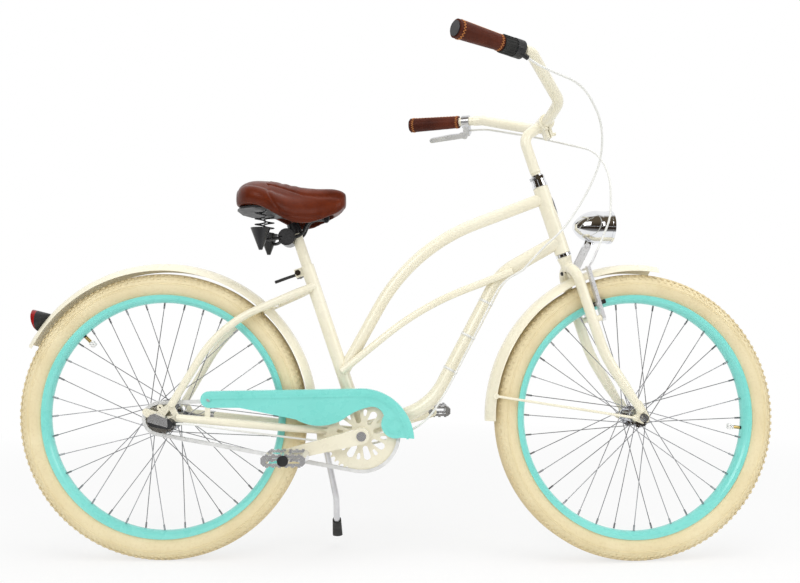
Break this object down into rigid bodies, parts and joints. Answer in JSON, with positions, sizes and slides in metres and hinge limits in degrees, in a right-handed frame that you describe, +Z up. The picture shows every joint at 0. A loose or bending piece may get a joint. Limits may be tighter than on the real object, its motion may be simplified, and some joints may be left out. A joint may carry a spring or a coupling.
{
  "type": "beach cruiser bicycle",
  "caption": "Step-through beach cruiser bicycle with swept-back bars, sprung saddle, fenders, chain guard, bullet headlight and kickstand; steers, rolls, pedals, brakes and folds its stand.",
  "frame": {"origin": "on the ground, midway between the axles and midway between the bar's two ends", "axes": "+X forward, +Y to the rider's left, +Z up"},
  "size_m": [1.777, 0.668, 1.1416],
  "materials": {
    "cream": "gloss enamel",
    "turquoise": "gloss enamel",
    "chrome": "polished",
    "steel": "bright zinc",
    "alloy": "satin",
    "black": "satin",
    "rubber": "matte",
    "tyre": "matte cream rubber",
    "vinyl": "brown, lightly grained",
    "cable": "white sheath",
    "glass": "clear"
  },
  "bodies": {
    "frame": {"head_tube": "cream", "top_tube": "cream", "down_tube": "cream", "seat_tube": "cream", "bottom_bracket_shell": "cream", "cantilever_tubes": "cream", "chain_stays": "cream", "seat_stays": "cream", "headset_cups": "chrome", "rear_axle": "steel", "shift_box": "black", "chain_guard": "turquoise", "rear_fender": "cream", "tail_light": "black", "shift_cable_run": "cable", "shift_cable_loop": "cable", "chain": "steel", "seat_binder_bolt": "steel"},
    "binder_lever": {"seat_binder_lever": "black"},
    "kickstand": {"kickstand_leg": "steel", "kickstand_foot": "rubber"},
    "seat": {"seat_post": "cream", "saddle_undercarriage": "black", "saddle_springs": "black"},
    "saddle": {"saddle_base": "black", "saddle_cover": "vinyl"},
    "crank": {"crank_spindle": "steel", "right_crank_arm": "cream", "left_crank_arm": "cream", "chainring": "cream"},
    "right_pedal": {"right_pedal": "alloy"},
    "left_pedal": {"left_pedal": "alloy"},
    "sprocket": {"rear_sprocket": "steel"},
    "rear_wheel": {"rear_hub_shell": "steel", "rear_rim": "turquoise", "rear_tyre": "tyre", "rear_inner_tube": "rubber", "rear_spokes": "steel"},
    "steering": {"fork": "cream", "headset_locknut": "chrome", "stem": "cream", "handlebar": "cream", "grips": "vinyl", "shifter_housing": "black", "brake_lever_bracket": "alloy", "front_brake_cable": "cable", "front_fender": "cream", "headlight_bracket": "chrome", "front_axle": "steel"},
    "shifter": {"shifter_sleeve": "black"},
    "brake_lever": {"brake_lever": "steel"},
    "headlight": {"headlight_shell": "chrome", "headlight_lens": "glass"},
    "right_brake": {"right_brake_arm": "steel"},
    "left_brake": {"left_brake_arm": "steel"},
    "front_wheel": {"front_hub_shell": "steel", "front_rim": "turquoise", "front_tyre": "tyre", "front_inner_tube": "rubber", "front_spokes": "steel"}
  },
  "joints": [
    {"name": "steering_turn", "type": "hinge", "parent": "frame", "child": "steering", "pos_m": [0.38703, 0.02124, 0.711], "axis": [-0.3206, 0, 0.9472], "range_deg": [-52, 38], "deforming": ["shift_cable_loop"]},
    {"name": "front_wheel_spin", "type": "hinge", "parent": "steering", "child": "front_wheel", "pos_m": [0.55373, 0.02583, 0.33491], "axis": [-0.1154, 0.9925, -0.0391], "continuous": true},
    {"name": "rear_wheel_spin", "type": "hinge", "parent": "frame", "child": "rear_wheel", "pos_m": [-0.554, 0.02124, 0.335], "axis": [0, 1, 0], "continuous": true},
    {"name": "crank_spin", "type": "hinge", "parent": "frame", "child": "crank", "pos_m": [-0.08809, 0.02124, 0.298], "axis": [0, 1, 0], "continuous": true, "deforming": ["chain"]},
    {"name": "sprocket_spin", "type": "hinge", "parent": "frame", "child": "sprocket", "pos_m": [-0.554, 0.02124, 0.335], "axis": [0, 1, 0], "continuous": true},
    {"name": "right_pedal_spin", "type": "hinge", "parent": "crank", "child": "right_pedal", "pos_m": [-0.25304, -0.06376, 0.25687], "axis": [0, 1, 0], "continuous": true},
    {"name": "left_pedal_spin", "type": "hinge", "parent": "crank", "child": "left_pedal", "pos_m": [0.07686, 0.10624, 0.33913], "axis": [0, 1, 0], "continuous": true},
    {"name": "kickstand_fold", "type": "hinge", "parent": "frame", "child": "kickstand", "pos_m": [-0.18009, 0.05124, 0.265], "axis": [0, 1, 0], "range_deg": [0, 101.8]},
    {"name": "seat_height", "type": "slide", "parent": "frame", "child": "seat", "axis": [-0.3173, 0, 0.9483], "range_m": [-0.045, 0.05]},
    {"name": "saddle_bounce", "type": "hinge", "parent": "seat", "child": "saddle", "pos_m": [-0.17505, 0.02124, 0.80004], "axis": [0, -1, 0], "range_deg": [0, 4], "stiffness_Nm_per_rad": 400, "springref_deg": -1.72, "deforming": ["saddle_springs"]},
    {"name": "binder_lever_turn", "type": "hinge", "parent": "frame", "child": "binder_lever", "pos_m": [-0.23989, 0.04454, 0.67322], "axis": [0.3173, 0, -0.9483], "range_deg": [0, 150]},
    {"name": "shifter_twist", "type": "hinge", "parent": "steering", "child": "shifter", "pos_m": [0.27179, -0.20911, 1.11202], "axis": [-0.8353, -0.5471, 0.0548], "range_deg": [0, 70]},
    {"name": "brake_lever_pull", "type": "hinge", "parent": "steering", "child": "brake_lever", "pos_m": [0.17792, 0.28582, 1.06517], "axis": [0.2949, 0.7732, 0.5614], "range_deg": [0, 12.5], "stiffness_Nm_per_rad": 1.5, "springref_deg": -17.19},
    {"name": "right_brake_swing", "type": "hinge", "parent": "steering", "child": "right_brake", "pos_m": [0.46355, -0.02335, 0.56798], "axis": [-0.9402, -0.1219, -0.3182], "range_deg": [0, 2.5], "stiffness_Nm_per_rad": 1, "springref_deg": -11.46, "deforming": ["front_brake_cable"]},
    {"name": "left_brake_swing", "type": "hinge", "parent": "steering", "child": "left_brake", "pos_m": [0.45259, 0.07095, 0.56427], "axis": [0.9402, 0.1219, 0.3182], "range_deg": [0, 2.5], "stiffness_Nm_per_rad": 1, "springref_deg": -11.46},
    {"name": "headlight_tilt", "type": "hinge", "parent": "steering", "child": "headlight", "pos_m": [0.44114, 0.0285, 0.73565], "axis": [-0.1154, 0.9925, -0.0391], "range_deg": [-12, 12]}
  ],
  "couplings": [
    {"joint": "sprocket_spin", "follows": "crank_spin", "ratio": 2.3333},
    {"joint": "right_brake_swing", "follows": "brake_lever_pull", "ratio": 0.192},
    {"joint": "left_brake_swing", "follows": "brake_lever_pull", "ratio": 0.192}
  ]
}
